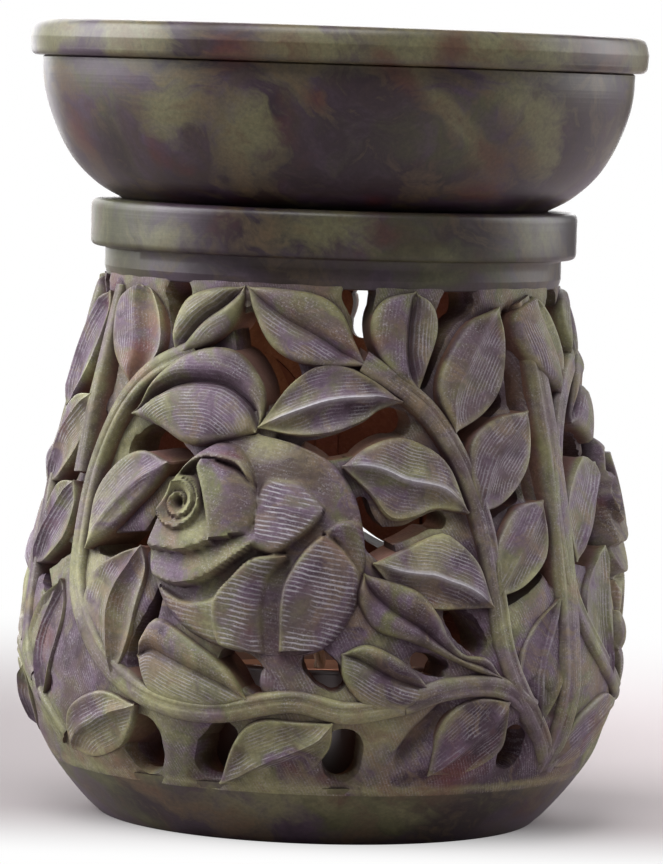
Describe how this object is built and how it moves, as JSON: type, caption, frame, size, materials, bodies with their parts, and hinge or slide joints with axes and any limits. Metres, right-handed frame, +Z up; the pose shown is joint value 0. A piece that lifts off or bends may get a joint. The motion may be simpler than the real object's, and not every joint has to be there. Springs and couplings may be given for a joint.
{
  "type": "essential oil burner",
  "caption": "Carved soapstone oil burner: pierced body with rose and vine openwork, a loose shallow dish on its seat ring and a tealight in the chamber.",
  "frame": {"origin": "centre of the flat underside of the foot, on the turning axis", "axes": "+Z up along the turning axis, -Y towards the side seen in the picture, +X to the right in the picture"},
  "size_m": [0.08, 0.08, 0.102],
  "materials": {
    "body_stone": "carved satin soapstone, olive and purple grey",
    "dish_stone": "turned and waxed soapstone, olive and purple brown",
    "cup_foil": "bright pressed foil",
    "wax": "white paraffin wax",
    "wick_cotton": "braided cotton",
    "tab_steel": "tinned steel"
  },
  "bodies": {
    "burner": {"foot": "body_stone", "panel_front": "body_stone", "panel_right": "body_stone", "panel_left": "body_stone", "collar": "body_stone"},
    "dish": {"oil_dish": "dish_stone"},
    "tealight": {"tealight_cup": "cup_foil", "tealight_wax": "wax", "wick": "wick_cotton", "wick_tab": "tab_steel"}
  },
  "joints": [
    {"name": "dish_lift", "type": "slide", "parent": "burner", "child": "dish", "axis": [0, 0, 1], "range_m": [0, 0.1]},
    {"name": "tealight_lift", "type": "slide", "parent": "burner", "child": "tealight", "axis": [0, 0, 1], "range_m": [0, 0.075]}
  ],
  "couplings": [
    {"joint": "tealight_lift", "follows": "dish_lift", "ratio": 0.75}
  ]
}
